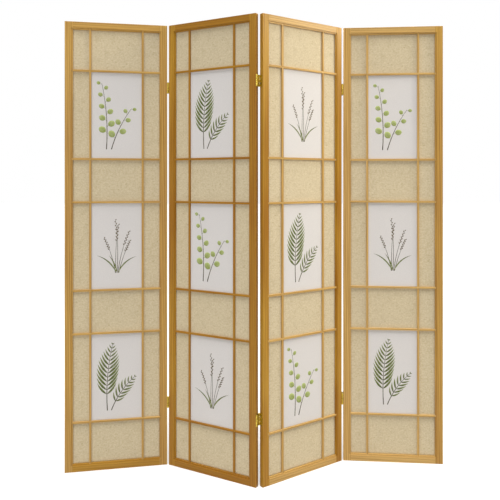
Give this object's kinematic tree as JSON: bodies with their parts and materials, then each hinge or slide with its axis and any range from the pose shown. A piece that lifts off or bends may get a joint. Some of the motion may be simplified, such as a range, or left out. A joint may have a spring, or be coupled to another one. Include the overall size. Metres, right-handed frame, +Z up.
{
  "type": "folding room divider",
  "caption": "Free-standing folding room divider of hinged wooden lattice panels with fabric infill, pale printed panes and two-way brass hinges.",
  "frame": {"origin": "middle of the divider's box at floor level, in the zigzag in which it stands", "axes": "+Z up; +X along the row of panels, from panel 1 to panel 4; +Y to the back, so the printed panes face -Y"},
  "size_m": [1.5378, 0.2626, 1.803],
  "materials": {
    "frame_pine": "clear satin lacquer",
    "lattice_pine": "clear satin lacquer",
    "fibre_cloth": "plain weave",
    "pane_paper": "matt fibre paper",
    "hinge_brass": "plated",
    "pin_brass": "plated",
    "screw_brass": "plated"
  },
  "bodies": {
    "panel_1": {"hinge_12_left_leaves": "hinge_brass", "hinge_12_left_screws": "screw_brass", "panel_1_back_crossbars": "lattice_pine", "panel_1_back_uprights": "lattice_pine", "panel_1_bottom_rail": "frame_pine", "panel_1_fabric_sheet": "fibre_cloth", "panel_1_front_crossbars": "lattice_pine", "panel_1_front_uprights": "lattice_pine", "panel_1_left_stile": "frame_pine", "panel_1_print_panes": "pane_paper", "panel_1_right_stile": "frame_pine", "panel_1_top_rail": "frame_pine"},
    "link_12": {"hinge_12_links": "hinge_brass", "hinge_12_pins": "pin_brass"},
    "panel_2": {"hinge_12_right_leaves": "hinge_brass", "hinge_12_right_screws": "screw_brass", "hinge_23_left_leaves": "hinge_brass", "hinge_23_left_screws": "screw_brass", "panel_2_back_crossbars": "lattice_pine", "panel_2_back_uprights": "lattice_pine", "panel_2_bottom_rail": "frame_pine", "panel_2_fabric_sheet": "fibre_cloth", "panel_2_front_crossbars": "lattice_pine", "panel_2_front_uprights": "lattice_pine", "panel_2_left_stile": "frame_pine", "panel_2_print_panes": "pane_paper", "panel_2_right_stile": "frame_pine", "panel_2_top_rail": "frame_pine"},
    "link_23": {"hinge_23_links": "hinge_brass", "hinge_23_pins": "pin_brass"},
    "panel_3": {"hinge_23_right_leaves": "hinge_brass", "hinge_23_right_screws": "screw_brass", "hinge_34_left_leaves": "hinge_brass", "hinge_34_left_screws": "screw_brass", "panel_3_back_crossbars": "lattice_pine", "panel_3_back_uprights": "lattice_pine", "panel_3_bottom_rail": "frame_pine", "panel_3_fabric_sheet": "fibre_cloth", "panel_3_front_crossbars": "lattice_pine", "panel_3_front_uprights": "lattice_pine", "panel_3_left_stile": "frame_pine", "panel_3_print_panes": "pane_paper", "panel_3_right_stile": "frame_pine", "panel_3_top_rail": "frame_pine"},
    "link_34": {"hinge_34_links": "hinge_brass", "hinge_34_pins": "pin_brass"},
    "panel_4": {"hinge_34_right_leaves": "hinge_brass", "hinge_34_right_screws": "screw_brass", "panel_4_back_crossbars": "lattice_pine", "panel_4_back_uprights": "lattice_pine", "panel_4_bottom_rail": "frame_pine", "panel_4_fabric_sheet": "fibre_cloth", "panel_4_front_crossbars": "lattice_pine", "panel_4_front_uprights": "lattice_pine", "panel_4_left_stile": "frame_pine", "panel_4_print_panes": "pane_paper", "panel_4_right_stile": "frame_pine", "panel_4_top_rail": "frame_pine"}
  },
  "joints": [
    {"name": "hinge_12_back", "type": "hinge", "parent": "panel_2", "child": "link_12", "pos_m": [-0.35352, 0.08843, 0], "axis": [0, 0, -1], "range_deg": [0, 180]},
    {"name": "hinge_12_front", "type": "hinge", "parent": "link_12", "child": "panel_1", "pos_m": [-0.36315, 0.0709, 0], "axis": [0, 0, 1], "range_deg": [-39.6, 140.4]},
    {"name": "hinge_23_front", "type": "hinge", "parent": "panel_2", "child": "link_23", "pos_m": [-0.00124, -0.12806, 0], "axis": [0, 0, -1], "range_deg": [0, 180]},
    {"name": "hinge_23_back", "type": "hinge", "parent": "link_23", "child": "panel_3", "pos_m": [0.0084, -0.11053, 0], "axis": [0, 0, 1], "range_deg": [-63.5, 116.5]},
    {"name": "hinge_34_front", "type": "hinge", "parent": "panel_3", "child": "link_34", "pos_m": [0.35933, 0.10814, 0], "axis": [0, 0, -1], "range_deg": [-39.7, 140.3]},
    {"name": "hinge_34_back", "type": "hinge", "parent": "link_34", "child": "panel_4", "pos_m": [0.36107, 0.12806, 0], "axis": [0, 0, 1], "range_deg": [0, 180]}
  ]
}
